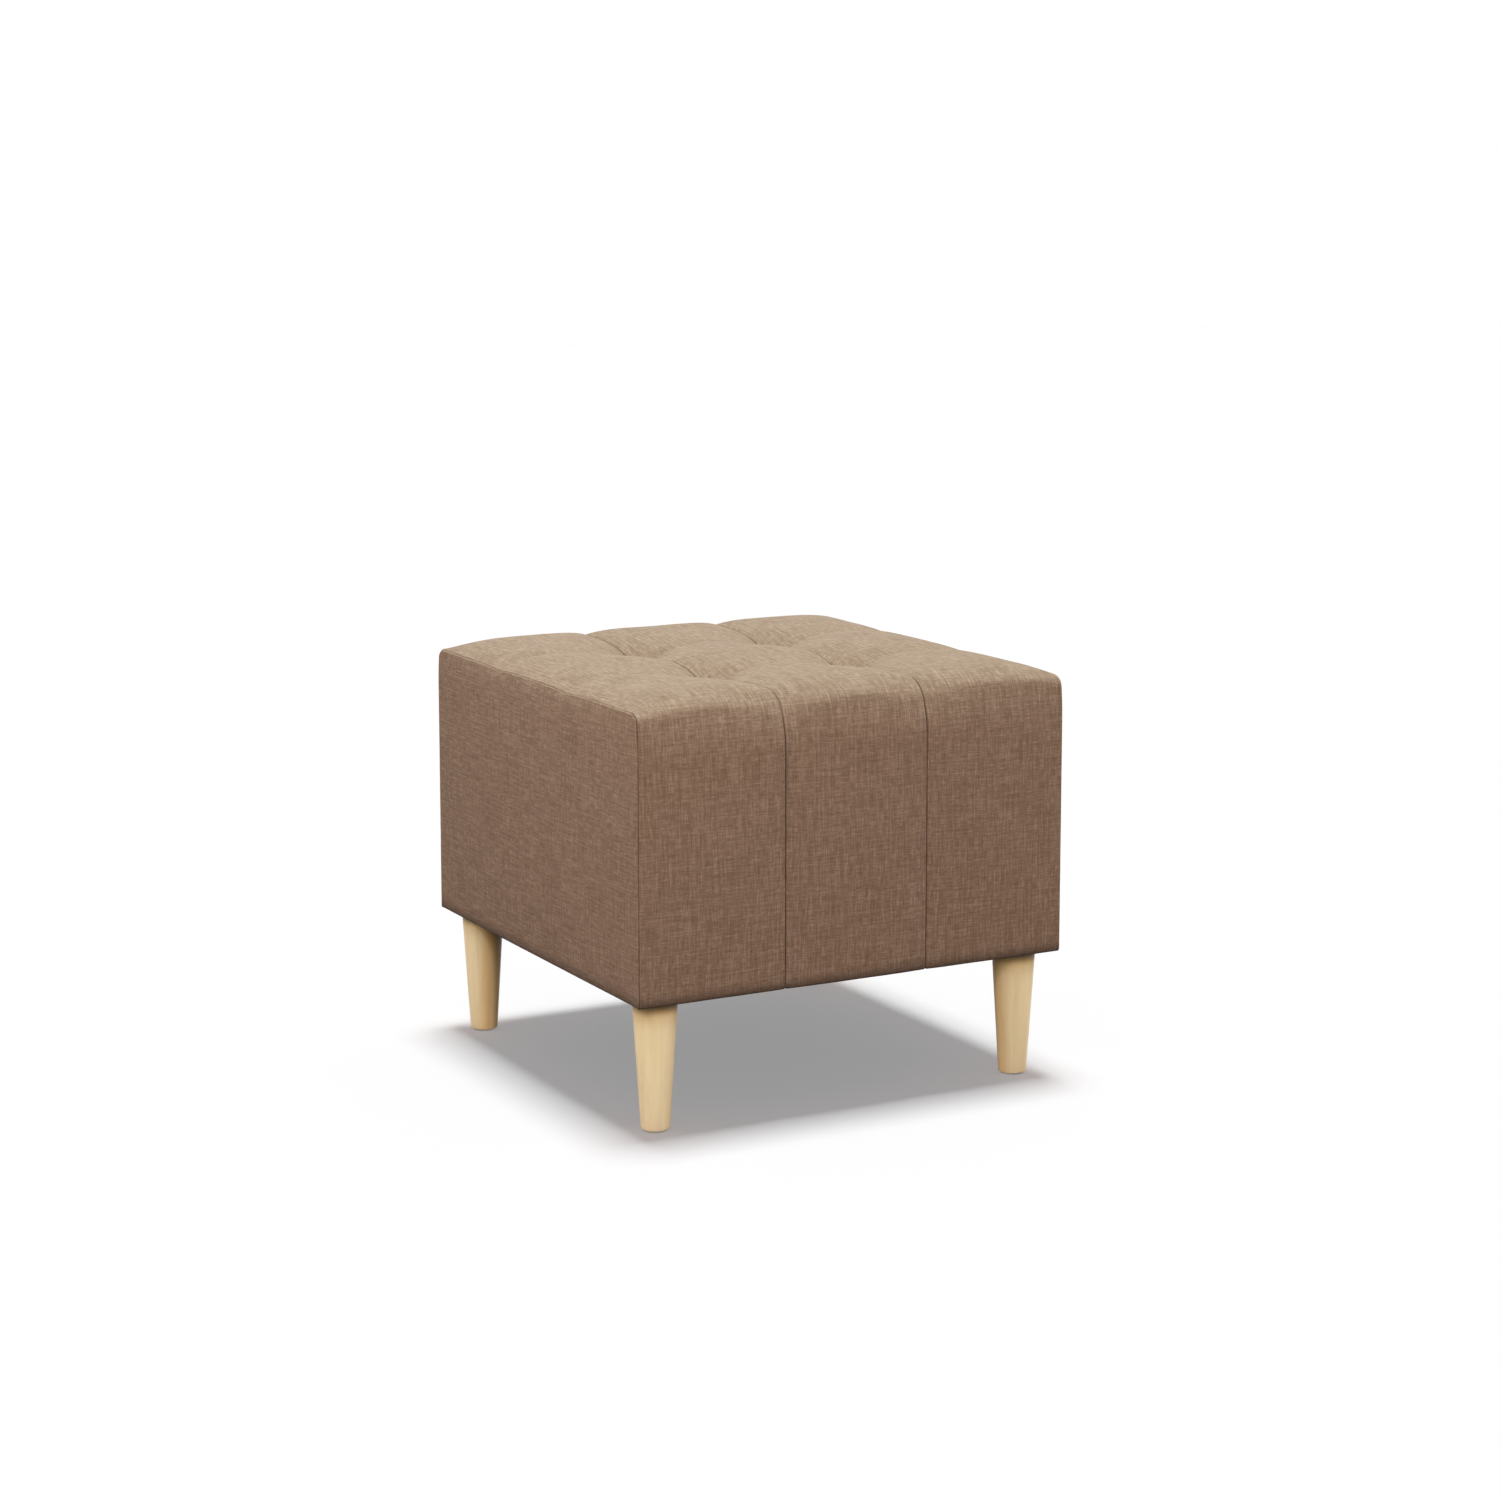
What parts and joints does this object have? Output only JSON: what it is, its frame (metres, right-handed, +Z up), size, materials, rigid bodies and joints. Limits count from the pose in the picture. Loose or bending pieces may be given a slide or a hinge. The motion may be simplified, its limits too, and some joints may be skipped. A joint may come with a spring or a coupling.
{
  "type": "pouf",
  "caption": "Square tufted pouf: upholstered box with a pillowed top, sewn from strips that run over front, top and back, on turned tapered wooden legs.",
  "frame": {"origin": "on the floor, under the middle of the box", "axes": "+Z up; the cover strips run front to back along Y with the front facing -Y; the plain side panels face along X"},
  "size_m": [0.55, 0.55, 0.4916],
  "materials": {
    "cover_fabric": "brown-taupe linen-look weave with a melange of light and dark yarns",
    "wadding": "white fibre wadding",
    "foam": "cream polyurethane foam",
    "twine": "waxed tufting twine",
    "steel": "zinc-plated steel",
    "plywood": "raw plywood",
    "hardboard": "smooth hardboard",
    "pine": "planed pine",
    "beech": "clear matt lacquered beech",
    "dust_cloth": "black non-woven cloth",
    "glide_plastic": "off-white polyethylene on a steel nail"
  },
  "bodies": {
    "root": {"cover_strip_left": "cover_fabric", "cover_strip_middle": "cover_fabric", "cover_strip_right": "cover_fabric", "cover_panel_left": "cover_fabric", "cover_panel_right": "cover_fabric", "top_wadding": "wadding", "seat_foam": "foam", "side_foam_front": "foam", "side_foam_back": "foam", "side_foam_left": "foam", "side_foam_right": "foam", "tuft_twines": "twine", "tuft_washers": "steel", "seat_deck": "plywood", "deck_screws": "steel", "board_front": "hardboard", "board_back": "hardboard", "board_left": "hardboard", "board_right": "hardboard", "top_rail_front": "pine", "top_rail_back": "pine", "top_rail_left": "pine", "top_rail_right": "pine", "bottom_rail_front": "pine", "bottom_rail_back": "pine", "bottom_rail_left": "pine", "bottom_rail_right": "pine", "post_front_left": "pine", "post_front_right": "pine", "post_back_left": "pine", "post_back_right": "pine", "rail_dowels": "beech", "dust_cover": "dust_cloth", "leg_front_left": "beech", "leg_front_right": "beech", "leg_back_left": "beech", "leg_back_right": "beech", "leg_bolts": "steel", "leg_inserts": "steel", "glide_front_left": "glide_plastic", "glide_front_right": "glide_plastic", "glide_back_left": "glide_plastic", "glide_back_right": "glide_plastic"}
  },
  "joints": []
}
